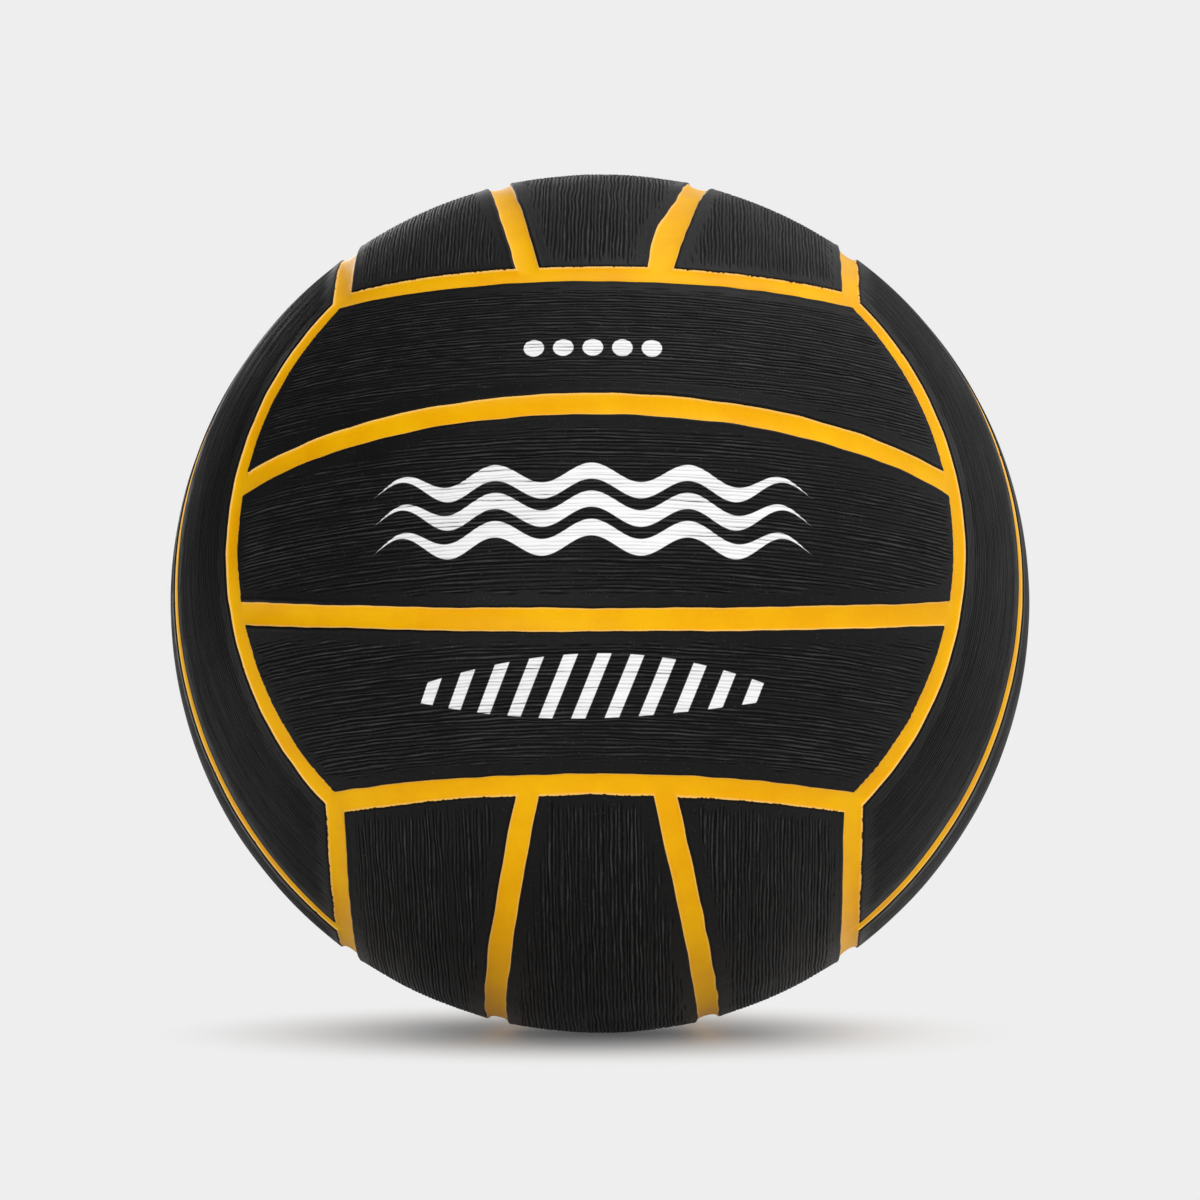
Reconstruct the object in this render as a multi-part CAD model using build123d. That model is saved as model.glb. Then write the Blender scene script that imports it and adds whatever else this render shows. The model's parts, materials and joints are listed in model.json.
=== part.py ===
"""Weighted water polo ball, size 5, as a lay-up of separate rubber pieces.

From the inside out: an air bladder with its valve, a thread winding, a carcass whose raised ridges
show as the coloured channels, and eighteen cover panels bonded into the fields between the ridges.
The panels lie in six faces of three strips, like the faces of a cube blown up to a ball.
Millimetres and degrees. The origin is the ball's centre, +Z is up, the printed front faces -Y and
looks up a little, as the ball lies. The valve is on +X.
"""

import os
from math import acos, cos, degrees, radians, sin, sqrt

from build123d import *

# Ball and its lie
ball_diameter = 221.2  # over the panels, for a circumference of 695
front_tilt = 12.0  # how far the front face looks up

# Cover panels and channels
panel_thickness = 2.0
panel_edge_radius = 0.5
channel_width = 5.8  # from panel to panel
channel_depth = 1.0  # below the panels' surface
seam_angle = 14.0  # from the middle of a face to its two inner seams, about the strips' direction

# Layers below the panels
carcass_wall = 1.6
winding_wall = 0.8
bladder_wall = 1.8
cement_line = 0.1  # between one layer and the next

# Valve
boss_radius = 6.0
boss_reach = 10.0  # of the housing into the bladder, past its flange
flange_radius = 16.0
flange_thickness = 1.5
patch_radius = 20.0
patch_thickness = 0.8
core_radius = 2.5
core_tip_reach = 2.5  # of the core past the housing's inner end
core_head_radius = 4.0
core_head_recess = 0.6  # below the ball's surface
core_edge_radius = 0.4
core_fit = 0.05  # between the core's shank and the housing's bore
core_head_clearance = 0.3
core_seat_gap = 0.05  # under the core's head
needle_radius = 1.0
needle_depth = 12.0

# Radii of the layers, from the outside in
ball_radius = ball_diameter / 2
panel_bed = ball_radius - panel_thickness
ridge_top = ball_radius - channel_depth
carcass_outer = panel_bed - cement_line
carcass_inner = carcass_outer - carcass_wall
winding_outer = carcass_inner - cement_line
winding_inner = winding_outer - winding_wall
bladder_outer = winding_inner - cement_line
bladder_inner = bladder_outer - bladder_wall
patch_outer = bladder_inner - cement_line
patch_inner = patch_outer - patch_thickness
flange_outer = patch_inner - cement_line
flange_inner = flange_outer - flange_thickness

# Places along the valve's axis, from the ball's centre
boss_top = sqrt(carcass_outer**2 - boss_radius**2) - cement_line
boss_end = flange_inner - boss_reach
core_face = ball_radius - core_head_recess
core_tip = boss_end - core_tip_reach
beyond = 2 * ball_radius  # longer than anything in the ball

# The strips of a face end on the circle about the face's axis that goes through the cube's corners
corner_angle = degrees(acos(1 / sqrt(3)))

# Each face: its outward direction, the direction of its strips, and its strips' names in order
FACES = {
    "front": ((0, -1, 0), (1, 0, 0), ("upper", "middle", "lower")),
    "back": ((0, 1, 0), (-1, 0, 0), ("upper", "middle", "lower")),
    "right": ((1, 0, 0), (0, 0, 1), ("front", "middle", "back")),
    "left": ((-1, 0, 0), (0, 0, 1), ("back", "middle", "front")),
    "top": ((0, 0, 1), (0, 1, 0), ("left", "middle", "right")),
    "bottom": ((0, 0, -1), (0, 1, 0), ("right", "middle", "left")),
}
VALVE_PANEL = "right_middle_panel"


def shell(outer, inner):
    """A hollow ball, with the closing lines of its faces on -X, away from the valve."""
    return Rot(Z=180) * (Sphere(outer) - Sphere(inner))


def cone(half_angle):
    """A cone about +Z with its point at the ball's centre."""
    return Cone(0, beyond * sin(radians(half_angle)), beyond * cos(radians(half_angle)),
                align=(Align.CENTER, Align.CENTER, Align.MIN))


def seam_plane(side, gap):
    """The plane beside an inner seam that faces away from the face's middle, a gap beyond the seam."""
    away = Vector(0, side * cos(radians(seam_angle)), -sin(radians(seam_angle)))
    return Plane(origin=away * gap, z_dir=away)


def strips(outer, inner, gap):
    """The three strips of a face about +Z, with their long sides along X, a gap from their seams.
    In order: the strip towards +Y, the middle strip, the strip towards -Y."""
    gap_angle = degrees(gap / ball_radius)
    face = Rot(Y=-90) * shell(outer, inner) & cone(corner_angle - gap_angle)
    middle = face
    for side in (1, -1):
        middle = split(middle, seam_plane(side, -gap), keep=Keep.BOTTOM)
    neighbour = Rot(X=-90) * cone(corner_angle + gap_angle)
    side_strip = split(face - neighbour, seam_plane(1, gap), keep=Keep.TOP)
    return side_strip, middle, Rot(Z=180) * side_strip


def panel(strip):
    """A cover panel: a strip with its outer rim rounded."""
    surface = strip.faces().filter_by(GeomType.SPHERE).sort_by(SortBy.AREA)[-1]
    return fillet(surface.edges(), min(panel_edge_radius, panel_thickness / 2))


def on_faces(shapes):
    """A face's three shapes, copied to all six faces, by panel name."""
    placed = {}
    for face, (outward, along, names) in FACES.items():
        seat = Location(Plane(origin=(0, 0, 0), x_dir=along, z_dir=outward))
        for name, shape in zip(names, shapes):
            placed[f"{face}_{name}_panel"] = seat * shape
    return placed


def rod(radius, start, end):
    """A round bar on the valve's axis."""
    turned = Rot(Y=90) * Cylinder(radius, end - start, align=(Align.CENTER, Align.CENTER, Align.MIN))
    return Pos(start, 0, 0) * turned


def disc(outer, inner, radius):
    """A round piece of a hollow ball's wall, about the valve's axis."""
    return shell(outer, inner) & rod(radius, 0, beyond)


valve_hole = rod(boss_radius + cement_line, 0, beyond)

# Cover
half_channel = channel_width / 2
panels = on_faces([panel(s) for s in strips(ball_radius, panel_bed, half_channel)])
panels[VALVE_PANEL] -= rod(core_head_radius + core_head_clearance, 0, beyond)

# Carcass, with a field for each panel and a ridge in each channel
fields = on_faces(strips(beyond, carcass_outer, half_channel - cement_line))
carcass = shell(ridge_top, carcass_inner) - list(fields.values()) - valve_hole

# Winding and bladder
winding = shell(winding_outer, winding_inner) - valve_hole
bladder = shell(bladder_outer, bladder_inner) - valve_hole

# Valve
valve_patch = disc(patch_outer, patch_inner, patch_radius) - valve_hole
flange = disc(flange_outer, flange_inner, flange_radius)
valve_housing = flange + rod(boss_radius, boss_end, boss_top) - rod(core_radius + core_fit, 0, beyond)
core_seat = boss_top + core_seat_gap
valve_core = rod(core_radius, core_tip, core_face) + rod(core_head_radius, core_seat, core_face)
core_ends = valve_core.edges().filter_by(GeomType.CIRCLE).sort_by(Axis.X)
valve_core = fillet([core_ends[0], core_ends[-1]], core_edge_radius)
valve_core -= rod(needle_radius, core_face - needle_depth, beyond)

pieces = {
    **panels,
    "carcass": carcass,
    "thread_winding": winding,
    "bladder": bladder,
    "valve_patch": valve_patch,
    "valve_housing": valve_housing,
    "valve_core": valve_core,
}

os.makedirs("parts", exist_ok=True)
lie = Rot(X=-front_tilt)
for name, piece in pieces.items():
    export_step(lie * piece, f"parts/{name}.step")
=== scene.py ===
"""A size 5 water polo ball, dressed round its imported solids.

The file follows the ball as it is built up, from the bladder in the middle out to the cover panels and
the print on them, and ends with the stage. Names that end in _mm hold millimetres, other lengths are
metres, and angles are radians.
"""

import json
import bpy
import numpy as np
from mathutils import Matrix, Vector

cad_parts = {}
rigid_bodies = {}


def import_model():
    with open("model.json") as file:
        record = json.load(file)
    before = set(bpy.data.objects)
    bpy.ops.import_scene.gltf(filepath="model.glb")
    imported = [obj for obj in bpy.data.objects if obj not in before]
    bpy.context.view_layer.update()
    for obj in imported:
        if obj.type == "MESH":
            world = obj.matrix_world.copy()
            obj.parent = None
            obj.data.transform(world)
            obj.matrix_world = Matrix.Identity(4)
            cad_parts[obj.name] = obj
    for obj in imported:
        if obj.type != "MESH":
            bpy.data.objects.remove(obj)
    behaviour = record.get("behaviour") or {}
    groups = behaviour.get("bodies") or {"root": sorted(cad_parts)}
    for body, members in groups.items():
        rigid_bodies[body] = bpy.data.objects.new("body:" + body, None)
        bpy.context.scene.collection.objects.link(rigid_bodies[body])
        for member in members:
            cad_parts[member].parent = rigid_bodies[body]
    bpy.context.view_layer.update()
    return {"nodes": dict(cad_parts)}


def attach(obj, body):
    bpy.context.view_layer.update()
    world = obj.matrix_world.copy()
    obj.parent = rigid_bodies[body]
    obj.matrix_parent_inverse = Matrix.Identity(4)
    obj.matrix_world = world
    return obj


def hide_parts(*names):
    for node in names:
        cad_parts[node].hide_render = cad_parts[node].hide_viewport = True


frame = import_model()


# Bladder: the airtight ball in the middle, blown from butyl rubber and cured in one piece.
# It is sealed under the winding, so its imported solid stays, with a dull black finish.
rubber_patch_scale = 60.0
rubber_patch_range = (0.3, 0.7)
rubber_grain_height = 0.00004
grain_fineness = 40.0


def fill(tree, node, inputs):
    """Sets a shader node's inputs. One that is given a socket is linked to it."""
    for key, value in inputs.items():
        if isinstance(value, bpy.types.NodeSocket):
            tree.links.new(value, node.inputs[key])
        else:
            node.inputs[key].default_value = value


def put(tree, kind, inputs=None, **settings):
    """Adds a shader node with these settings and inputs."""
    made = tree.nodes.new(kind)
    for key, value in settings.items():
        setattr(made, key, value)
    fill(tree, made, inputs or {})
    return made


def maths(tree, operation, *values):
    """The result of one Math node on sockets or numbers."""
    return put(tree, "ShaderNodeMath", dict(enumerate(values)), operation=operation).outputs[0]


def share_between(tree, value, start, end):
    """0 where the value is at start, 1 where it is at end, and a smooth step between them."""
    inputs = {"Value": value, "From Min": start, "From Max": end}
    made = put(tree, "ShaderNodeMapRange", inputs, interpolation_type="SMOOTHSTEP")
    return made.outputs["Result"]


def ranged(tree, share, start, end):
    """A value that goes evenly from start to end as the share goes from 0 to 1."""
    inputs = {"Value": share, "To Min": start, "To Max": end}
    return put(tree, "ShaderNodeMapRange", inputs).outputs["Result"]


def mixed(tree, share, first, second):
    """The first colour where the share is 0 and the second where it is 1."""
    made = put(tree, "ShaderNodeMix", {0: share, 6: first, 7: second}, data_type="RGBA")
    return made.outputs[2]


def screen(red, green, blue):
    """A colour given as screen values from 0 to 255, in linear light by the sRGB curve."""
    values = np.array([red, green, blue]) / 255
    light = np.where(values <= 0.04045, values / 12.92, ((values + 0.055) / 1.055) ** 2.4)
    return (*light.tolist(), 1.0)


def grey(level):
    """A neutral colour of one screen value."""
    return screen(level, level, level)


def rubber_grain_group():
    """Cloudy patches and fine grain, both from 0 to 1: noise on Object coordinates at the given scale,
    and at that scale times the grain's fineness."""
    tree = bpy.data.node_groups.new("rubber_grain", "ShaderNodeTree")
    tree.interface.new_socket("Scale", in_out="INPUT", socket_type="NodeSocketFloat")
    for label in ("Patches", "Grain"):
        tree.interface.new_socket(label, in_out="OUTPUT", socket_type="NodeSocketFloat")
    scale = put(tree, "NodeGroupInput").outputs["Scale"]
    place = put(tree, "ShaderNodeTexCoord").outputs["Object"]
    cloud = {"Vector": place, "Scale": scale, "Detail": 4.0, "Roughness": 0.6}
    fine_scale = maths(tree, "MULTIPLY", scale, grain_fineness)
    fine = {"Vector": place, "Scale": fine_scale, "Detail": 2.0, "Roughness": 0.5}
    put(tree, "NodeGroupOutput", {
        "Patches": put(tree, "ShaderNodeTexNoise", cloud).outputs["Fac"],
        "Grain": put(tree, "ShaderNodeTexNoise", fine).outputs["Fac"],
    })
    return tree


rubber_grain = rubber_grain_group()


def placed(tree, group, inputs=None):
    """The outputs of a node group, placed in a tree with its own values."""
    return put(tree, "ShaderNodeGroup", inputs, node_tree=group).outputs


def bumped(tree, height, distance):
    """A normal tilted by a height that changes over the surface, where 1 is this many metres."""
    return put(tree, "ShaderNodeBump", {"Height": height, "Distance": distance}).outputs["Normal"]


def new_material(name):
    """A material with its node tree and its main shader."""
    material = bpy.data.materials.new(name)
    material.use_nodes = True
    return material, material.node_tree, material.node_tree.nodes["Principled BSDF"]


def plain_rubber(name, dark, light, shiny, dull):
    """Moulded rubber: two tones in cloudy patches, shinier in the dark ones, with a fine grain."""
    material, tree, shader = new_material(name)
    grain = placed(tree, rubber_grain, {"Scale": rubber_patch_scale})
    tone = share_between(tree, grain["Patches"], *rubber_patch_range)
    fill(tree, shader, {
        "Base Color": mixed(tree, tone, dark, light),
        "Roughness": ranged(tree, tone, shiny, dull),
        "Normal": bumped(tree, grain["Grain"], rubber_grain_height),
    })
    return material


def dress(node, material):
    """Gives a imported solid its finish."""
    for holder in frame["nodes"][node].material_slots:
        holder.material = material


butyl = plain_rubber("butyl_rubber", screen(24, 24, 26), screen(38, 38, 40), shiny=0.55, dull=0.72)
dress("bladder", butyl)


# Valve seat: a patch that stiffens the bladder's wall, and the housing, a flange with a bored boss,
# both moulded rubber and cured to the bladder from inside. Only the boss's end can ever be seen.
dress("valve_patch", butyl)
valve_rubber = plain_rubber("valve_rubber", screen(30, 30, 31), screen(46, 46, 47), shiny=0.42, dull=0.6)
dress("valve_housing", valve_rubber)


# Valve core: the soft rubber plug in the housing's bore, turned here about the valve's axis.
# Its head sits in the panel's hole, with a dished mouth for the pump needle, and it pulls out.
# Each point of its profile is a distance from the ball's centre and a radius.
needle_channel_mm = [(98.0, 0.0), (98.0, 0.6), (98.2, 0.9), (98.6, 1.0), (104.0, 1.0), (108.9, 1.0)]
dished_mouth_mm = [(109.3, 1.12), (109.55, 1.45), (109.66, 2.0), (109.72, 2.6), (109.88, 2.85)]
head_rim_mm = [(110.0, 3.15), (109.98, 3.45), (109.86, 3.75), (109.6, 3.95), (109.2, 4.0)]
head_foot_mm = [(108.6, 4.0), (108.36, 3.92), (108.29, 3.75), (108.29, 2.7), (108.2, 2.55)]
shank_mm = [(108.0, 2.5), (100.0, 2.5), (91.0, 2.5)]
tip_mm = [(89.9, 2.4), (89.35, 2.05), (89.12, 1.5), (89.1, 0.8), (89.1, 0.0)]
core_profile_mm = needle_channel_mm + dished_mouth_mm + head_rim_mm + head_foot_mm + shank_mm + tip_mm
core_steps = 72


def mesh_object(name, points_mm, triangles, corner_uv=None, marks=None):
    """A smooth mesh object of these triangles, with its bake map and its named values per point."""
    mesh = bpy.data.meshes.new(name)
    mesh.vertices.add(len(points_mm))
    mesh.vertices.foreach_set("co", (points_mm / 1000).astype(np.float32).ravel())
    mesh.loops.add(triangles.size)
    mesh.loops.foreach_set("vertex_index", triangles.astype(np.int32).ravel())
    mesh.polygons.add(len(triangles))
    mesh.polygons.foreach_set("loop_start", np.arange(0, triangles.size, 3, dtype=np.int32))
    mesh.polygons.foreach_set("use_smooth", np.ones(len(triangles), bool))
    mesh.update(calc_edges=True)
    if corner_uv is not None:
        layer = mesh.uv_layers.new(name="OFBake")
        layer.data.foreach_set("uv", corner_uv.astype(np.float32).ravel())
    for mark, values in (marks or {}).items():
        attribute = mesh.attributes.new(mark, "FLOAT", "POINT")
        attribute.data.foreach_set("value", values.astype(np.float32).ravel())
    made = bpy.data.objects.new(name, mesh)
    bpy.context.scene.collection.objects.link(made)
    return made


def quads(first, second, third, fourth):
    """Two triangles for each four-cornered face, as index arrays of any one shape."""
    parts = [np.stack([first, second, third], axis=-1), np.stack([first, third, fourth], axis=-1)]
    return np.concatenate([part.reshape(-1, 3) for part in parts])


def turned(profile_mm, steps):
    """A profile of points (x, radius) turned about X: each point off the axis goes round in equal
    steps, and a point on the axis at the start or at the end closes the shape there with a fan."""
    profile = np.array(profile_mm)
    on_axis = profile[:, 1] == 0
    rings = profile[~on_axis]
    tips = profile[on_axis, :1] * (1, 0, 0)
    angle = np.arange(steps) * 2 * np.pi / steps
    x = np.repeat(rings[:, :1], steps, axis=1)
    y, z = (rings[:, 1:] * wave(angle) for wave in (np.cos, np.sin))
    points = np.stack([x, y, z], axis=-1).reshape(-1, 3)
    index = np.arange(len(points)).reshape(len(rings), steps)
    beside = np.roll(index, -1, axis=1)
    triangles = [quads(index[:-1], index[1:], beside[1:], beside[:-1])]
    fans = ((index[0], beside[0]), (beside[-1], index[-1]))
    for number, (first, second) in zip(range(len(tips)), fans):
        triangles.append(np.stack([np.full(steps, len(points) + number), first, second], axis=-1))
    return np.concatenate([points, tips]), np.concatenate(triangles)


core = mesh_object("valve_core_plug", *turned(core_profile_mm, core_steps))
core.data.materials.append(valve_rubber)
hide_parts("valve_core")
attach(core, "valve_core")


# Thread winding: nylon thread wound over the bladder in all directions and soaked in latex, which
# keeps the ball round. It is sealed in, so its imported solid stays, with crossing threads on it.
thread_turns = ((0.0, 0.0, 0.3), (1.0, 0.4, 2.2), (2.1, 1.3, 0.7))
thread_bands = {"Scale": 520.0, "Distortion": 1.2, "Detail": 1.0}
thread_shade_range = (0.35, 0.95)
thread_height = 0.0002


def thread_finish():
    """Off-white threads that cross in three directions: the highest of three sets of wave bands."""
    material, tree, shader = new_material("latex_thread")
    place = put(tree, "ShaderNodeTexCoord").outputs["Object"]
    highest = None
    for turn in thread_turns:
        turned_place = put(tree, "ShaderNodeMapping", {"Vector": place, "Rotation": turn}).outputs[0]
        thread = put(tree, "ShaderNodeTexWave", {"Vector": turned_place, **thread_bands}).outputs["Fac"]
        highest = thread if highest is None else maths(tree, "MAXIMUM", highest, thread)
    shade = share_between(tree, highest, *thread_shade_range)
    fill(tree, shader, {
        "Base Color": mixed(tree, shade, screen(150, 140, 118), screen(226, 222, 208)),
        "Roughness": 0.6,
        "Normal": bumped(tree, highest, thread_height),
    })
    return material


dress("thread_winding", thread_finish())


# Carcass: the rubber shell over the winding, moulded in amber with a ridge along every seam.
# The ridge tops are hollow, with a satin skin, and they show as channels between the panels.
ball_mm = 110.6
panel_sheet_mm = 2.0
cement_mm = 0.1
carcass_wall_mm = 1.6
panel_bed_mm = ball_mm - panel_sheet_mm
field_mm = panel_bed_mm - cement_mm
carcass_inner_mm = field_mm - carcass_wall_mm
channel_half_mm = 2.78
channel_depth_mm = 1.15
channel_lip_mm = 0.34
valve_strip = ("right", "middle")
valve_hole_mm = 6.1
seam_angle = np.radians(14.0)
corner_angle = np.arccos(1 / np.sqrt(3))
front_tilt = np.radians(12.0)
lie = np.array([
    [1, 0, 0],
    [0, np.cos(front_tilt), np.sin(front_tilt)],
    [0, -np.sin(front_tilt), np.cos(front_tilt)],
])
faces = {
    "front": ((0, -1, 0), (1, 0, 0), ("upper", "middle", "lower")),
    "back": ((0, 1, 0), (-1, 0, 0), ("upper", "middle", "lower")),
    "right": ((1, 0, 0), (0, 0, 1), ("front", "middle", "back")),
    "left": ((-1, 0, 0), (0, 0, 1), ("back", "middle", "front")),
    "top": ((0, 0, 1), (0, 1, 0), ("left", "middle", "right")),
    "bottom": ((0, 0, -1), (0, 1, 0), ("right", "middle", "left")),
}


def all_strips():
    """Each strip's face, name, side of the face (1, 0 or -1) and axes as rows: along, across, out.
    The strip on the far side is the near one after half a turn about the face's own axis."""
    for face, (outward, along, names) in faces.items():
        out = np.array(outward, float)
        axes = np.stack([along, np.cross(out, along), out]) @ lie.T
        for side, name in zip((1, 0, -1), names):
            turn = np.array([[-1], [-1], [1]]) if side < 0 else 1
            yield face, name, side, axes * turn


def seam_latitude(outer, side, inside_mm, longitude):
    """Latitude of the line that runs a distance inside the seam on one side of a strip. An inner seam
    is a great circle through the strip's own poles, leaning by the seam angle. The far side of an
    outer strip is a circle of constant latitude."""
    if outer and side > 0:
        return np.pi / 2 - corner_angle - inside_mm / ball_mm + 0 * longitude
    rise = np.sin(seam_angle) * np.cos(longitude)
    lean = np.arctan2(rise, np.cos(seam_angle))
    offset = np.arcsin(np.sin(inside_mm / ball_mm) / np.hypot(rise, np.cos(seam_angle)))
    return lean + offset if outer else side * (lean - offset)


def end_longitude(inside_mm, latitude):
    """Longitude where a line of latitude meets the circle a distance inside the strip's end."""
    return np.arccos(np.cos(corner_angle - inside_mm / ball_mm) / np.cos(latitude))


ripple_waves = 9


def ripples(random, along, across, *kinds):
    """A smooth random field, the sum of several kinds of ripple. Each kind is given by its height and
    its lengths along and across, and is a sum of cosine waves of random phase, whose lengths are near
    those."""
    total = np.zeros(np.broadcast(along, across).shape)
    for height, *lengths in kinds:
        waves = np.zeros_like(total)
        for _ in range(ripple_waves):
            turns_along, turns_across = random.normal(size=2) / lengths
            phase = random.uniform(0, 2 * np.pi)
            waves += np.cos(2 * np.pi * (turns_along * along + turns_across * across) + phase)
        total += height * (waves / np.sqrt(ripple_waves))
    return total


# How the edges stray from their regular lines, in millimetres: three kinds of ripple, the seams that
# lie crooked as a whole, and the edge that bulges, by its place along the edge, its reach and its rise.
edge_names = ("low", "high", "start", "end")
slow_stray = (0.13, 22.0, 1.0)
quick_stray = (0.035, 4.0, 1.0)
ragged_stray = (0.08, 1.2, 1.0)
crooked_mm = {
    ("bottom", "middle", "low"): 0.8,
    ("bottom", "left", "low"): -0.8,
    ("bottom", "middle", "high"): -1.3,
    ("bottom", "right", "low"): 1.3,
}
bulges_mm = {("top", "middle", "low"): (-87.0, 14.0, 1.8)}


def laid_edges(face, name, seed, cut_by_hand):
    """The way from a strip's regular lines, each a distance inside an edge, to the same lines as they
    were laid by hand, and the way back. A seam may lie crooked as a whole. The panel's edge strays in
    slow waves or bulges, and the ridge widens with it, from nothing at the seam. An edge that is cut
    by hand has quick waves too, and is ragged at the strip's ends, across the ribs."""

    def stray(edge, place_mm):
        random = np.random.default_rng([seed, edge_names.index(edge)])
        kinds = [slow_stray]
        if cut_by_hand:
            kinds.append(quick_stray)
            if edge in ("start", "end"):
                kinds.append(ragged_stray)
        total = ripples(random, place_mm, 0.0, *kinds)
        if (face, name, edge) in bulges_mm:
            middle, reach, rise = bulges_mm[face, name, edge]
            total += rise * np.exp(-(((place_mm - middle) / reach) ** 2))
        return total

    def laid(edge, line_mm, place_mm):
        share = np.minimum(line_mm / channel_half_mm, 1)
        return line_mm + crooked_mm.get((face, name, edge), 0.0) + share * stray(edge, place_mm)

    def regular(edge, distance_mm, place_mm):
        from_seam = distance_mm - crooked_mm.get((face, name, edge), 0.0)
        half = channel_half_mm + stray(edge, place_mm)
        return channel_half_mm + np.where(
            from_seam < half, (from_seam / half - 1) * channel_half_mm, from_seam - half
        )

    return laid, regular


first_end_longitude = 0.9
settling_rounds = 9


def strip_grid(outer, laid, side_lines, inside, rows, hole_mm=0.0, hole_column=0):
    """Latitude and longitude of a strip's grid. The first and last columns follow the sides at the
    given distances, and the inside columns keep their own latitude, or their share of the width,
    but stop at the side lines and at the hole, which opens after the given inside column. A row is
    a share of the length between two ends. Each depends on the other, so they are worked out in turn
    until they settle. Also gives, for each place, the place that it coincides with, and the column
    before the hole."""
    count = len(side_lines)
    columns = 2 * count + len(inside(np.zeros(1)))
    share, inset_mm = (values[:, None] for values in rows)
    longitude = share * np.full(columns, first_end_longitude)
    for _ in range(settling_rounds):
        before, after = longitude[:, :count], longitude[:, -count:]
        low = seam_latitude(outer, -1, laid("low", side_lines, before * ball_mm), before)
        high = seam_latitude(outer, 1, laid("high", side_lines[::-1], after * ball_mm), after)
        wanted = inside(longitude[:, count:-count])
        allowed = np.clip(wanted, low[:, -1:], high[:, :1])
        held = allowed
        if hole_mm:
            along_mm = longitude[:, count:-count] * ball_mm
            half = np.sqrt(np.maximum(hole_mm**2 - along_mm**2, 0)) / ball_mm
            left = np.arange(wanted.shape[1]) <= hole_column
            held = np.where(left, np.minimum(allowed, -half), np.maximum(allowed, half))
        latitude = np.concatenate([low, held, high], axis=1)
        start, end = (laid(edge, inset_mm, latitude * ball_mm) for edge in ("start", "end"))
        longitude = share * end_longitude(np.where(share < 0, start, end), latitude)
    same = np.arange(latitude.size).reshape(latitude.shape)
    middle = same[:, count:-count]
    middle[:] = np.where(wanted <= low[:, -1:], same[:, [count - 1]], middle)
    middle[:] = np.where(wanted >= high[:, :1], same[:, [columns - count]], middle)
    if not hole_mm:
        return latitude, longitude, same, None
    gap = count + hole_column
    middle[:] = np.where((held != allowed) & left, same[:, [gap]], middle)
    middle[:] = np.where((held != allowed) & ~left, same[:, [gap + 1]], middle)
    shut = half[:, hole_column] == 0
    same[shut, gap + 1] = same[shut, gap]
    return latitude, longitude, same, gap


def directions(latitude, longitude):
    """Unit vectors (along, across, out) at a latitude and longitude of the strip."""
    level = np.cos(latitude)
    return np.stack([level * np.sin(longitude), np.sin(latitude), level * np.cos(longitude)], axis=-1)


# The underside's columns are shares of the width, from the last side back to the first. With a hole,
# its two sides stand between two sets of them. The rest are places and heights on the bake map.
bed_shares = np.linspace(1, 0, 7)
bed_shares_round_hole = ((1, 0.84, 0.67), (0.33, 0.16, 0))
bed_hole_column = len(bed_shares_round_hole[0])
map_edge = 0.02
map_top = 0.76
map_bed = 0.18
map_end_wall = (0.012, 0.004)
map_hole_walls = (0.792, 0.784)
map_hole_height = 0.006


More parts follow.
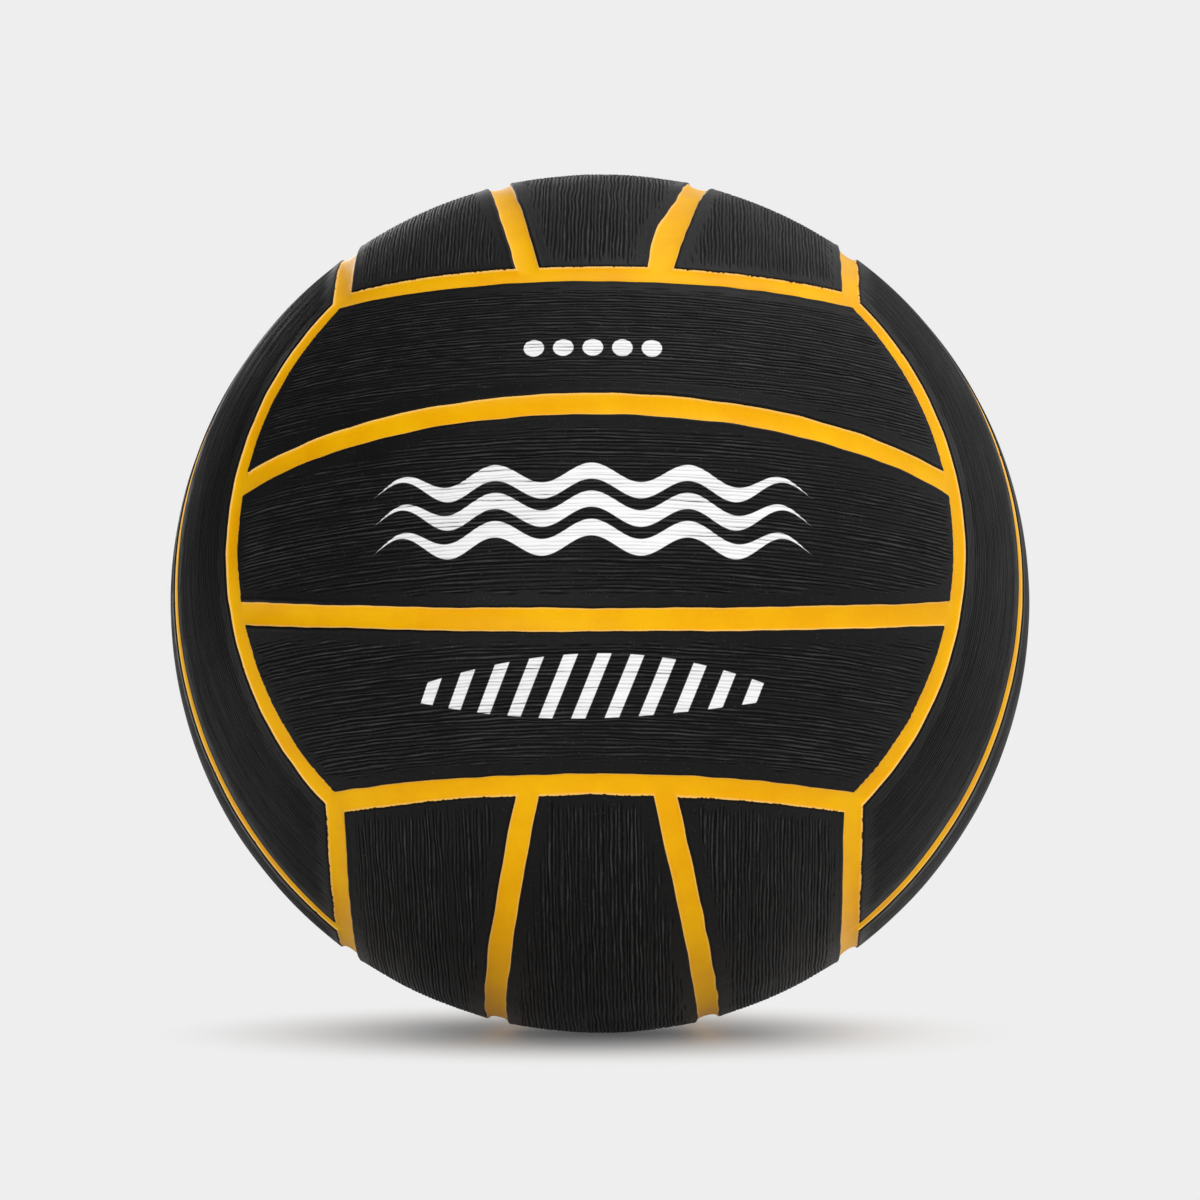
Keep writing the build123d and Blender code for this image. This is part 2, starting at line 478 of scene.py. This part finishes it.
def closed_strip(grid, radius_mm, bed_mm):
    """Points, triangles and bake map of a strip as a closed solid, and the grid's number of each point:
    the grid at its own radius is the top, a coarse sheet at the bed's radius is the underside, and
    walls join them round the rim and round the hole. On the bake map the top fills the lower part and
    the underside the rest, and the walls lie in the narrow spaces beside them."""
    latitude, longitude, same, gap = grid
    rows, columns = latitude.shape
    width = latitude[:, -1:] - latitude[:, :1]
    across = (latitude - latitude[:, :1]) / width
    along = (longitude / longitude[-1:, :] + 1) / 2
    bed_share = np.tile(bed_shares, (rows, 1))
    if gap is not None:
        beyond, short_of = (np.tile(shares, (rows, 1)) for shares in bed_shares_round_hole)
        bed_share = np.hstack([beyond, across[:, [gap + 1, gap]], short_of])
    bed_columns = bed_share.shape[1]
    bed_longitude = longitude[:, [0]] + bed_share * (longitude[:, [-1]] - longitude[:, [0]])
    top = directions(latitude, longitude) * radius_mm[..., None]
    bed = directions(latitude[:, :1] + bed_share * width, bed_longitude) * bed_mm
    points = np.concatenate([top.reshape(-1, 3), bed.reshape(-1, 3)])
    bed_same = latitude.size + np.arange(rows * bed_columns).reshape(rows, bed_columns)
    kept = np.ones(columns + bed_columns, bool)
    if gap is not None:
        is_open = latitude[:, gap] != latitude[:, gap + 1]
        bed_same[~is_open, bed_hole_column + 1] = bed_same[~is_open, bed_hole_column]
        kept[[gap, columns + bed_hole_column]] = False
    ring = np.hstack([same, bed_same, same[:, :1]])

    map_along = map_edge + (1 - 2 * map_edge) * along
    map_across = map_edge + map_top * across
    bed_start = 2 * map_edge + map_top
    bed_along = np.tile(map_along[:, :1], (1, bed_columns + 1))
    bed_across = bed_start + map_bed * (1 - bed_share)
    ring_u = np.hstack([map_along, bed_along])
    ring_v = np.hstack([map_across, bed_across, np.ones((rows, 1))])

    def around(values):
        corners = values[:-1, :-1], values[1:, :-1], values[1:, 1:], values[:-1, 1:]
        return quads(*(corner[:, kept] for corner in corners))

    triangles = [around(ring)]
    uv = [np.stack([around(ring_u), around(ring_v)], axis=-1)]

    def add_wall(wall, u, v, flip):
        order = slice(None, None, -1) if flip else slice(None)
        triangles.append(wall[:, order])
        uv.append(np.stack([u, v], axis=-1)[:, order])

    # The end walls: each pair of top points goes to the nearest point of the underside.
    for row in (0, rows - 1):
        far = np.round(across[row] * (bed_columns - 1)).astype(int)
        step = np.flatnonzero(far[1:] != far[:-1]) + 1
        upper, lower = same[row], bed_same[row, ::-1][far]
        first = np.stack([upper[:-1], upper[1:], lower[:-1]], axis=-1)
        second = np.stack([upper[step], lower[step], lower[step - 1]], axis=-1)
        upper_u, lower_u = (1 - place if row else place for place in map_end_wall)
        upper_v = map_across[row]
        lower_v = map_edge + map_top * far / (bed_columns - 1)
        u = np.concatenate([
            np.tile([upper_u, upper_u, lower_u], (len(first), 1)),
            np.tile([upper_u, lower_u, lower_u], (len(second), 1)),
        ])
        v = np.concatenate([
            np.stack([upper_v[:-1], upper_v[1:], lower_v[:-1]], axis=-1),
            np.stack([upper_v[step], lower_v[step], lower_v[step - 1]], axis=-1),
        ])
        add_wall(np.concatenate([first, second]), u, v, flip=row > 0)

    # The hole's wall, in two halves, only where the hole is open.
    if gap is not None:
        both = np.tile(is_open[:-1] | is_open[1:], 2)
        for far_side in (0, 1):
            upper = same[:, gap + far_side]
            lower = bed_same[:, bed_hole_column + 1 - far_side]
            wall = quads(upper[:-1], upper[1:], lower[1:], lower[:-1])
            place = map_along[:, gap + far_side]
            u = quads(place[:-1], place[1:], place[1:], place[:-1])
            base = np.full(rows - 1, map_hole_walls[far_side])
            v = quads(base, base, base + map_hole_height, base + map_hole_height)
            add_wall(wall[both], u[both], v[both], flip=far_side > 0)

    triangles, uv = np.concatenate(triangles), np.concatenate(uv)
    a, b, c = triangles.T
    real = (a != b) & (b != c) & (c != a)
    used, index = np.unique(triangles[real], return_inverse=True)
    return points[used], index.reshape(-1, 3), uv[real], used


def on_points(values, used, below=0.0):
    """A grid's values on the points of its strip, with one value for those of the underside."""
    full = np.full(used.max() + 1, below)
    full[:values.size] = values.ravel()
    return full[used]


hole_rows = 37
rows_beside_hole = 6
beside_hole = 1.6
least_row_gap = 0.01


def rows_for(end_lines, step_mm, hole_mm=0.0):
    """Shares and end distances of a strip's rows: the end lines at both ends, even steps between
    them, and, round a hole, rows that divide its circle evenly, with a few more beside it."""
    length = 2 * ball_mm * corner_angle
    shares = np.linspace(-1, 1, int(length / step_mm))[1:-1]
    if hole_mm:
        half = length / 2 - end_lines[-1]
        circle = np.sin(np.linspace(-np.pi / 2, np.pi / 2, hole_rows)) * hole_mm / half
        near = beside_hole * hole_mm / half
        after = np.linspace(circle[-1], near, rows_beside_hole + 1)[1:]
        clear = np.abs(shares) > near + least_row_gap
        shares = np.sort(np.concatenate([shares[clear], -after, circle, after]))
    ends = np.ones(len(end_lines))
    share = np.concatenate([-ends, shares, ends])
    inset_mm = np.concatenate([end_lines, np.full(len(shares), end_lines[-1]), end_lines[::-1]])
    return share, inset_mm


def distances_mm(latitude, longitude, outer, regular):
    """How far each place lies inside the strip's two sides and its nearer end, along the ball, taken
    back from the edges as laid to the regular ones."""
    across, out = np.moveaxis(directions(latitude, longitude), -1, 0)[1:]
    tilted_across, tilted_out = across * np.cos(seam_angle), out * np.sin(seam_angle)
    end = corner_angle - np.arccos(np.clip(out, -1, 1))
    if outer:
        low = np.arcsin(tilted_across - tilted_out)
        high = np.pi / 2 - corner_angle - latitude
    else:
        low = np.arcsin(tilted_across + tilted_out)
        high = np.arcsin(tilted_out - tilted_across)
    place_mm = longitude * ball_mm
    ends = [regular(edge, end * ball_mm, latitude * ball_mm) for edge in ("start", "end")]
    return (
        regular("low", low * ball_mm, place_mm),
        regular("high", high * ball_mm, place_mm),
        np.where(longitude < 0, *ends),
    )


ridge_lines_mm = np.array([-0.04, 0.5, 1.0, 1.45, 1.85, 2.18, 2.42, 2.59, 2.7, 2.76, 2.8])
field_line_mm = 2.81
field_shares = np.array([-1, -0.76, -0.5, -0.24, 0, 0.24, 0.5, 0.76, 1])
field_step_mm = 2.6


def carcass_tile(face, name, side, axes, seed):
    """One strip's tile of the carcass, as points, triangles, bake map and nearness to the ridge's lip: a
    flat field with half a ridge along each side and end. A ridge's top is hollow. Its depth below the
    ball follows an ellipse, deepest at the seam and least at the lip."""
    outer = side != 0
    hole_mm = valve_hole_mm if (face, name) == valve_strip else 0.0
    middle_column = len(field_shares) // 2
    shares = np.insert(field_shares, middle_column, 0) if hole_mm else field_shares
    laid, regular = laid_edges(face, name, seed, cut_by_hand=False)

    def field_columns(longitude):
        """Latitudes of the field's columns: fixed shares of the way from its middle to each wall."""
        place_mm = longitude * ball_mm
        low = seam_latitude(outer, -1, laid("low", field_line_mm, place_mm), longitude)
        high = seam_latitude(outer, 1, laid("high", field_line_mm, place_mm), longitude)
        middle = (low + high) / 2 if outer else 0.0
        return middle + np.abs(shares) * (np.where(shares < 0, low, high) - middle)

    rows = rows_for(np.append(ridge_lines_mm, field_line_mm), field_step_mm, hole_mm)
    grid = strip_grid(outer, laid, ridge_lines_mm, field_columns, rows, hole_mm, middle_column)
    low, high, end = distances_mm(grid[0], grid[1], outer, regular)
    beside = np.maximum(1 - np.minimum(low, high) / channel_half_mm, 0)
    before = np.maximum(1 - end / channel_half_mm, 0)
    to_lip = 1 - np.minimum(np.hypot(beside, before), 1)
    depth = channel_lip_mm + (channel_depth_mm - channel_lip_mm) * np.sqrt(1 - to_lip**2)
    radius = ball_mm - depth
    ridges = len(ridge_lines_mm)
    radius[ridges + 1:-ridges - 1, ridges:-ridges] = field_mm
    points, triangles, uv, used = closed_strip(grid, radius, carcass_inner_mm)
    return points @ axes, triangles, uv, on_points(to_lip, used)


tiles_across = 6
tiles_up = 3
crease_angle = np.radians(50)
tiles = [carcass_tile(*strip, seed) for seed, strip in enumerate(all_strips())]
tile_points, tile_triangles, tile_uv, tile_lips = zip(*tiles)
first_points = np.cumsum([0, *map(len, tile_points)])
tile_spots = [np.array([k % tiles_across, k // tiles_across]) for k in range(len(tiles))]
carcass = mesh_object(
    "carcass_channels",
    np.concatenate(tile_points),
    np.concatenate([part + first for part, first in zip(tile_triangles, first_points)]),
    np.concatenate([(part + spot) / (tiles_across, tiles_up) for part, spot in zip(tile_uv, tile_spots)]),
    {"lip": np.concatenate(tile_lips)},
)
carcass.data.set_sharp_from_angle(angle=crease_angle)


def own(tree, mark):
    """One of a piece's own named values per point."""
    return put(tree, "ShaderNodeAttribute", attribute_name=mark).outputs["Fac"]


amber_patch_scale = 55.0
amber_patch_range = (0.32, 0.68)
amber_roughness = (0.34, 0.46)
amber_skin_height = 0.0003
# The painted highlight along the ridges' lips: where it starts and ends, and how pale it gets.
lip_highlight_range = (0.84, 1.0)
lip_highlight_share = 0.7


def amber_finish():
    """Satin amber rubber: slow shifts of tone, a faint orange-peel skin and a few duller patches, with a
    painted highlight that makes it paler along the ridges' lips."""
    material, tree, shader = new_material("amber_rubber")
    grain = placed(tree, rubber_grain, {"Scale": amber_patch_scale})
    tone = share_between(tree, grain["Patches"], *amber_patch_range)
    amber = mixed(tree, tone, screen(242, 171, 0), screen(248, 185, 2))
    pale = maths(tree, "MULTIPLY", share_between(tree, own(tree, "lip"), *lip_highlight_range), lip_highlight_share)
    fill(tree, shader, {
        "Base Color": mixed(tree, pale, amber, screen(252, 216, 130)),
        "Roughness": ranged(tree, tone, *amber_roughness),
        "Specular IOR Level": 0.08,
        "Normal": bumped(tree, grain["Patches"], amber_skin_height),
    })
    return material


carcass.data.materials.append(amber_finish())
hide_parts("carcass")
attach(carcass, "ball")


# Cover panels: eighteen pieces of black rubber sheet, pressed with fine ribs along their length and
# bonded into the fields between the ridges. The rims are rolled down and have a faint bead.
panel_lines_mm = channel_half_mm + np.array([0, 0.05, 0.12, 0.22, 0.36, 0.55, 0.8, 1.1, 1.4])
panel_step_mm = 1.5
core_hole_mm = 4.3
crest_sink_mm = 0.1
rim_roll_mm = 0.5
bead_rise_mm = 0.1
bead_place_mm = 0.7
bead_width_mm = 0.4

# The ribs: their outline from one valley to the next, how uneven their pitch is, by the height, pace
# and start of each wave, and how strong they are. On three panels they are worn to an even level.
rib_pitch_mm = 0.95
rib_depth_mm = 0.32
rib_phases = np.array([0, 0.14, 0.32, 0.5, 0.68, 0.86])
crest_phase = 0.5
rib_fullness = 1.3
pitch_waves = ((0.1, 2.4, 0.0), (0.06, 1.3, 1.0))
spare_ribs = 2
least_rib_strength = 0.5
rib_wear = {("left", "front"): 0.6, ("right", "front"): 0.6, ("top", "right"): 0.3}
worn_level = 0.3
usual_depth = 0.8
depth_limits = (0.2, 1.2)

# Where the ribs fade out, from and to these distances, and how ragged that is at the ends.
side_fade_mm = (1.8, 5.4)
end_fade_mm = (1.0, 5.0)
end_raggedness = 1.3
hole_fade_mm = (1.4, 2.6)
straight_by_hole_mm = 3
hole_rim_mm = 3
swell_fade_mm = 4

# Kinds of ripple, each by its height and its lengths along and across.
wander_kinds = ((0.14, 40.0, 8.0), (0.07, 14.0, 3.0))
depth_kinds = ((0.22, 60.0, 3.0), (0.12, 14.0, 2.0))
ragged_kind = (0.9, 9.0, 2.2)
swell_kind = (0.05, 45.0, 30.0)
batch_step = 7.3
underside_inset_mm = 9.0


def smooth(value, start, end):
    """0 below start and 1 above end, with a smooth step between them."""
    share = np.clip((value - start) / (end - start), 0, 1)
    return share * share * (3 - 2 * share)


def rib_lines(random, outer, hole_mm):
    """A panel's ribs as columns: each column's distance from the strip's middle line, its phase from
    one valley to the next and its rib's strength, and the number of the middle column. The pitch is a
    little uneven. Where there is a hole the middle column is doubled, to go round it on both sides."""
    widest = end_longitude(0, 0.0) if outer else 0.0
    low = seam_latitude(outer, -1, panel_lines_mm[-1], widest) * ball_mm
    high = seam_latitude(outer, 1, panel_lines_mm[-1], 0.0) * ball_mm
    count = int(np.ceil((high - low) / rib_pitch_mm)) + 2 * spare_ribs
    if hole_mm:
        count += count % 2
    turns = np.arange(count)[:, None] + rib_phases
    uneven = sum(height * np.sin(turns * pace + start) for height, pace, start in pitch_waves)
    line_mm = ((high + low) / 2 + (turns - count / 2 + uneven) * rib_pitch_mm).ravel()
    strength = np.repeat(random.uniform(least_rib_strength, 1.0, count), len(rib_phases))
    phase = np.tile(rib_phases, count)
    middle = len(line_mm) // 2
    if hole_mm:
        line_mm = np.insert(line_mm - line_mm[middle], middle, 0)
        phase = np.insert(phase, middle, 0)
        strength = np.insert(strength, middle, strength[middle])
    return line_mm, phase, strength, middle


def panel_mesh(face, name, side, axes, hole_mm, seed):
    """A panel's mesh: columns follow the ribs, which wander a little. The radius is just under the
    ball's, less the ribs' valleys, which are uneven, fade raggedly towards the rim and are evened out
    by wear, less the rolled rim, plus the bead and a slow swell. The mesh also keeps the values that
    its finish reads."""
    outer = side != 0
    random = np.random.default_rng(seed)
    line_mm, phase, strength, middle_column = rib_lines(random, outer, hole_mm)
    wander_seed = random.integers(1 << 30)

    def rib_columns(longitude):
        """Latitudes of the ribs: even lines that wander together by a fraction of a millimetre."""
        wander = ripples(np.random.default_rng(wander_seed), longitude * ball_mm, line_mm, *wander_kinds)
        if hole_mm:
            wander = wander * smooth(np.abs(line_mm), 0, straight_by_hole_mm)
        return (line_mm + wander) / ball_mm

    laid, regular = laid_edges(face, name, seed, cut_by_hand=True)
    rows = rows_for(panel_lines_mm[:-1], panel_step_mm, hole_mm)
    grid = strip_grid(outer, laid, panel_lines_mm, rib_columns, rows, hole_mm, middle_column)
    latitude, longitude = grid[:2]
    distances = distances_mm(latitude, longitude, outer, regular)
    low_mm, high_mm, end_mm = (distance - channel_half_mm for distance in distances)
    side_mm = np.minimum(low_mm, high_mm)
    inset_mm = np.minimum(side_mm, end_mm)
    edge_mm = inset_mm
    along_mm, across_mm = longitude * ball_mm * np.cos(latitude), latitude * ball_mm

    rims = len(panel_lines_mm)
    height = np.sin(np.pi * np.pad(phase, rims, constant_values=crest_phase)) ** rib_fullness
    uneven = usual_depth + ripples(random, along_mm, across_mm, *depth_kinds)
    ragged = ripples(random, along_mm, across_mm, ragged_kind)
    fade = smooth(side_mm + ragged, *side_fade_mm) * smooth(end_mm + end_raggedness * ragged, *end_fade_mm)
    if hole_mm:
        from_hole = np.hypot(longitude * ball_mm, latitude * ball_mm) - hole_mm
        fade = fade * smooth(from_hole, *hole_fade_mm)
        edge_mm = np.where(from_hole < hole_rim_mm, np.minimum(edge_mm, from_hole), edge_mm)
    depth = np.clip(np.pad(strength, rims) * np.clip(uneven, *depth_limits) * fade, 0, 1)
    wear = rib_wear.get((face, name), 0.0)
    evened = wear * worn_level * fade
    valley = (1 - wear) * (1 - height) * depth + evened
    crest = (1 - wear) * height * depth + evened
    rolled = np.clip(1 - np.maximum(edge_mm, 0) / rim_roll_mm, 0, 1)
    roll = rim_roll_mm * (1 - np.sqrt(1 - rolled**2))
    bead = bead_rise_mm * np.exp(-(((side_mm - bead_place_mm) / bead_width_mm) ** 2))
    swell = ripples(random, along_mm, across_mm, swell_kind) * smooth(edge_mm, 0, swell_fade_mm)
    radius = ball_mm - crest_sink_mm - rib_depth_mm * valley - roll + bead + swell

    points, triangles, uv, used = closed_strip(grid, radius, panel_bed_mm)
    turn = -1 if side < 0 else 1
    marks = {
        "valley": on_points(valley, used),
        "crest": on_points(crest, used),
        "inset": on_points(inset_mm, used, underside_inset_mm),
        "along": on_points(turn * along_mm, used),
        "across": on_points(turn * (across_mm - across_mm.mean()), used),
        "batch": on_points(np.full(latitude.shape, batch_step * seed), used),
    }
    return mesh_object(f"{face}_{name}_panel_ribbed", points @ axes, triangles, uv, marks)


# How the finish reads the panel's own values: the scrapes' stretch, and where each effect starts and ends.
cover_patch_scale = 45.0
cover_roughness = (0.42, 0.52)
cover_grain_height = 0.00005
scrape_along = 0.14
scrape_across = 1.3
scrape_range = (0.35, 0.65)
crest_range = (0.2, 0.9)
valley_range = (0.03, 0.45)
speck_range = (0.64, 0.76)
speck_share = 0.45
# The painted shade along the rims: the insets where it starts and ends, and how dark it gets.
rim_shade_range_mm = (0.95, 0.3)
rim_shade_share = 0.85
valley_dullness = 0.28
run_most_mm = 0.2
run_start_mm = -0.06
run_edge_mm = 0.03


def ribbed_cover_group():
    """Black ribbed rubber: grey wear on the crests, scraped along the ribs, with a painted highlight there
    too, painted shade in the valleys and along the rims, and specks of dust. Gives its colour and
    roughness, the patches' tone, the grain and the scrapes that they are made of, and the share of amber
    that has run over the rim."""
    tree = bpy.data.node_groups.new("ribbed_cover", "ShaderNodeTree")
    tree.interface.new_socket("Colour", in_out="OUTPUT", socket_type="NodeSocketColor")
    for label in ("Roughness", "Tone", "Grain", "Scrape", "Run"):
        tree.interface.new_socket(label, in_out="OUTPUT", socket_type="NodeSocketFloat")
    grain = placed(tree, rubber_grain, {"Scale": cover_patch_scale})
    tone = share_between(tree, grain["Patches"], *rubber_patch_range)
    stretched = put(tree, "ShaderNodeCombineXYZ", {
        "X": maths(tree, "MULTIPLY", own(tree, "along"), scrape_along),
        "Y": maths(tree, "MULTIPLY", own(tree, "across"), scrape_across),
        "Z": own(tree, "batch"),
    })
    scrape_noise = {"Vector": stretched.outputs[0], "Scale": 1.0, "Detail": 3.0, "Roughness": 0.65}
    scrape = put(tree, "ShaderNodeTexNoise", scrape_noise).outputs["Fac"]
    plain = mixed(tree, tone, grey(13), grey(18))
    # Lighter grey on the crests, scraped along the ribs: partly wear, partly a painted highlight where the
    # crests catch the light.
    crest_wear_and_highlight = mixed(tree, share_between(tree, scrape, *scrape_range), grey(22), grey(60))
    colour = mixed(tree, share_between(tree, own(tree, "crest"), *crest_range), plain, crest_wear_and_highlight)
    # Painted shade: the valleys darken nearly to black, as the ribs' hollows do in shade.
    shaded = share_between(tree, own(tree, "valley"), *valley_range)
    colour = mixed(tree, shaded, colour, grey(2))
    speck = share_between(tree, grain["Grain"], *speck_range)
    colour = mixed(tree, maths(tree, "MULTIPLY", speck, speck_share), colour, grey(74))
    inset = own(tree, "inset")
    # Painted shade: a dark line along each rim, in the crevice beside the ridge.
    rim = share_between(tree, inset, *rim_shade_range_mm)
    colour = mixed(tree, maths(tree, "MULTIPLY", rim, rim_shade_share), colour, grey(4))
    dullness = ranged(tree, tone, *cover_roughness)
    run_mm = maths(tree, "MULTIPLY_ADD", grain["Grain"], run_most_mm, run_start_mm)
    put(tree, "NodeGroupOutput", {
        "Colour": colour,
        "Roughness": maths(tree, "MULTIPLY_ADD", shaded, valley_dullness, dullness),
        "Tone": tone,
        "Grain": grain["Grain"],
        "Scrape": scrape,
        "Run": share_between(tree, maths(tree, "SUBTRACT", inset, run_mm), run_edge_mm, -run_edge_mm),
    })
    return tree


ribbed_cover = ribbed_cover_group()


def cover_finish(name, ink=None):
    """The ribbed cover, with ink over it where there is a print, and a trace of amber at the rim. The
    ink is a function that gives its share and its colour."""
    material, tree, shader = new_material(name)
    cover = placed(tree, ribbed_cover)
    colour = cover["Colour"]
    if ink:
        share, ink_colour = ink(tree, cover)
        colour = mixed(tree, share, colour, ink_colour)
    fill(tree, shader, {
        "Base Color": mixed(tree, cover["Run"], colour, screen(244, 174, 8)),
        "Roughness": cover["Roughness"],
        "Specular IOR Level": 0.13,
        "Normal": bumped(tree, cover["Grain"], cover_grain_height),
    })
    return material


black_rubber = cover_finish("black_rubber")
for seed, (face, name, side, axes) in enumerate(all_strips()):
    hole_mm = core_hole_mm if (face, name) == valve_strip else 0.0
    panel = panel_mesh(face, name, side, axes, hole_mm, seed)
    panel.data.materials.append(black_rubber)
    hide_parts(f"{face}_{name}_panel")
    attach(panel, "ball")


# Marks on the front: white ink, screen-printed on the three front strips after the ball is cured.
# Three waves cross the middle strip, with a row of dots above them and slanted bars below.
ink_edge_mm = 0.12
wave_length_mm = 23.6
wave_rise_mm = 2.4
wave_lines = 3
wave_pitch_mm = 7.0
wave_half_mm = 2.0
wave_thinning_mm = 2.2
wave_reach_mm = (60.0, 30.0)
dot_count = 5
dot_pitch_mm = 7.2
dot_radius_mm = 2.5
bar_count = 11
bar_pitch_mm = 8.0
bar_half_mm = 1.7
bar_lean = -0.4
bar_rise_mm = 8.0
bar_swell_mm = 104.0


def band_of(tree, value, half):
    """1 where the value lies within plus or minus half, with soft edges."""
    excess = maths(tree, "SUBTRACT", maths(tree, "ABSOLUTE", value), half)
    return share_between(tree, excess, ink_edge_mm, -ink_edge_mm)


def wave_marks(tree, along, across):
    """Three lines one above the other, each a cosine along the strip, that thin out at the ends."""
    turns = maths(tree, "MULTIPLY", along, 2 * np.pi / wave_length_mm)
    rise = maths(tree, "MULTIPLY", maths(tree, "COSINE", turns), wave_rise_mm)
    lifted = maths(tree, "SUBTRACT", across, rise)
    within = band_of(tree, lifted, wave_lines * wave_pitch_mm / 2)
    line = maths(tree, "WRAP", lifted, wave_pitch_mm / 2, -wave_pitch_mm / 2)
    reach = share_between(tree, maths(tree, "ABSOLUTE", along), *wave_reach_mm)
    half = maths(tree, "MULTIPLY_ADD", reach, wave_thinning_mm, wave_half_mm - wave_thinning_mm)
    return maths(tree, "MULTIPLY", within, band_of(tree, line, half))


def dot_marks(tree, along, across):
    """Five round dots in a row: distance from the nearest of evenly spaced middles."""
    within = band_of(tree, along, dot_count * dot_pitch_mm / 2)
    nearest = maths(tree, "WRAP", along, dot_pitch_mm / 2, -dot_pitch_mm / 2)
    squares = [maths(tree, "MULTIPLY", value, value) for value in (nearest, across)]
    distance = maths(tree, "SQRT", maths(tree, "ADD", *squares))
    return maths(tree, "MULTIPLY", within, band_of(tree, distance, dot_radius_mm))


def bar_marks(tree, along, across):
    """A row of leaning bars, tallest in the middle: bands of a slanted coordinate, cut to height."""
    leaning = maths(tree, "MULTIPLY_ADD", across, bar_lean, along)
    within = band_of(tree, leaning, bar_count * bar_pitch_mm / 2)
    bar = band_of(tree, maths(tree, "WRAP", leaning, bar_pitch_mm / 2, -bar_pitch_mm / 2), bar_half_mm)
    swell = maths(tree, "COSINE", maths(tree, "MULTIPLY", leaning, np.pi / bar_swell_mm))
    tall = band_of(tree, across, maths(tree, "MULTIPLY", swell, bar_rise_mm))
    return maths(tree, "MULTIPLY", maths(tree, "MULTIPLY", bar, tall), within)


ink_ragged = 0.9
ink_held_range = (0.95, 0.75)
ink_thin_range = (0.05, 0.6)
ink_thin_share = 0.45


def white_ink(marks):
    """White ink in the shape of these marks. It doesn't reach the valleys' floors, with a ragged limit
    along the scrapes, and it is thin and grey on the way down to them."""

    def ink(tree, cover):
        valley = own(tree, "valley")
        ragged = maths(tree, "MULTIPLY_ADD", cover["Scrape"], ink_ragged, -ink_ragged / 2)
        held = share_between(tree, maths(tree, "ADD", valley, ragged), *ink_held_range)
        shape = marks(tree, own(tree, "along"), own(tree, "across"))
        white = mixed(tree, cover["Tone"], screen(246, 245, 246), screen(252, 251, 252))
        thin = maths(tree, "MULTIPLY", share_between(tree, valley, *ink_thin_range), ink_thin_share)
        return maths(tree, "MULTIPLY", shape, held), mixed(tree, thin, white, grey(168))

    return ink


for strip, marks in (("upper", dot_marks), ("middle", wave_marks), ("lower", bar_marks)):
    printed = cover_finish(f"printed_rubber_{strip}", white_ink(marks))
    bpy.data.objects[f"front_{strip}_panel_ribbed"].data.materials[0] = printed


# Stage: a wide pale floor that fades into an even pale surround, soft lamps above, in front of and
# behind the ball, and a surround that is brighter on the right as light, though it looks even.
# The camera is at the photograph's place, level with the ball's middle.
surround = grey(238)
floor_reach_mm = 9000.0
floor_rings = np.linspace(0.02, 1, 12) ** 2
floor_steps = 64
floor_fade = (0.03, 0.12)


def floor_finish():
    """White paper near the ball, where its shadow falls, which glows faintly as painted light that
    lightens the shadow and the ball's underside. A camera sees it fade to the surround."""
    material, tree, shader = new_material("pale_paper")
    # The glow for all rays is painted light: it lightens the ball's shadow and the ball's underside.
    fill(tree, shader, {
        "Base Color": grey(240),
        "Roughness": 0.9,
        "Emission Color": surround,
        "Emission Strength": 0.09,
    })
    place = put(tree, "ShaderNodeTexCoord").outputs["Object"]
    flat = put(tree, "ShaderNodeVectorMath", {0: place, 1: (1, 1, 0)}, operation="MULTIPLY").outputs[0]
    away = put(tree, "ShaderNodeVectorMath", {0: flat}, operation="LENGTH").outputs["Value"]
    seen = put(tree, "ShaderNodeLightPath").outputs["Is Camera Ray"]
    share = maths(tree, "MULTIPLY", share_between(tree, away, *floor_fade), seen)
    plain = put(tree, "ShaderNodeEmission", {"Color": surround, "Strength": 1.0})
    blend = put(tree, "ShaderNodeMixShader", {0: share, 1: shader.outputs[0], 2: plain.outputs[0]})
    fill(tree, tree.nodes["Material Output"], {"Surface": blend.outputs[0]})
    return material


# The floor is a flat profile under the ball, turned about X and then moved to turn about Z.
floor_profile_mm = [(-ball_mm, radius) for radius in (0, *(floor_reach_mm * floor_rings))]
floor_points, floor_triangles = turned(floor_profile_mm, floor_steps)
floor = mesh_object("floor", np.roll(floor_points, -1, axis=1), floor_triangles)
floor.data.materials.append(floor_finish())


def soft_lamp(name, place, size, power):
    """A square soft box that faces the ball."""
    data = bpy.data.lights.new(name, "AREA")
    data.size = size
    data.energy = power
    lamp = bpy.data.objects.new(name, data)
    lamp.location = place
    lamp.rotation_euler = (-Vector(place)).to_track_quat("-Z", "Y").to_euler()
    bpy.context.scene.collection.objects.link(lamp)


soft_lamp("top_lamp", (0.5, 0.0, 2.1), size=1.6, power=16.5)
soft_lamp("front_lamp", (-0.6, -2.1, 0.4), size=1.6, power=21.0)
soft_lamp("back_lamp", (-0.5, 2.1, 0.2), size=1.2, power=13.0)

left_light = (0.07, 0.07, 0.07, 1.0)
right_light = (1.0, 1.0, 1.0, 1.0)
world = bpy.data.worlds.new("studio")
world.use_nodes = True
world_tree = world.node_tree
seen = put(world_tree, "ShaderNodeLightPath").outputs["Is Camera Ray"]
way = put(world_tree, "ShaderNodeTexCoord").outputs["Generated"]
to_right = put(world_tree, "ShaderNodeSeparateXYZ", {0: way}).outputs["X"]
ambient = mixed(world_tree, share_between(world_tree, to_right, -1.0, 1.0), left_light, right_light)
around = mixed(world_tree, seen, ambient, surround)
fill(world_tree, world_tree.nodes["Background"], {"Color": around})
bpy.context.scene.world = world

view_angle = np.radians(1.1)
view_distance = 1.533
view_height = 0.0009
camera_data = bpy.data.cameras.new("camera")
camera_data.lens = 178.3
camera_data.sensor_width = 36.0
camera = bpy.data.objects.new("camera", camera_data)
camera.location = (view_distance * np.sin(view_angle), -view_distance * np.cos(view_angle), view_height)
camera.rotation_euler = (np.pi / 2, 0, view_angle)
bpy.context.scene.collection.objects.link(camera)
bpy.context.scene.camera = camera
bpy.context.scene.view_settings.view_transform = "Standard"
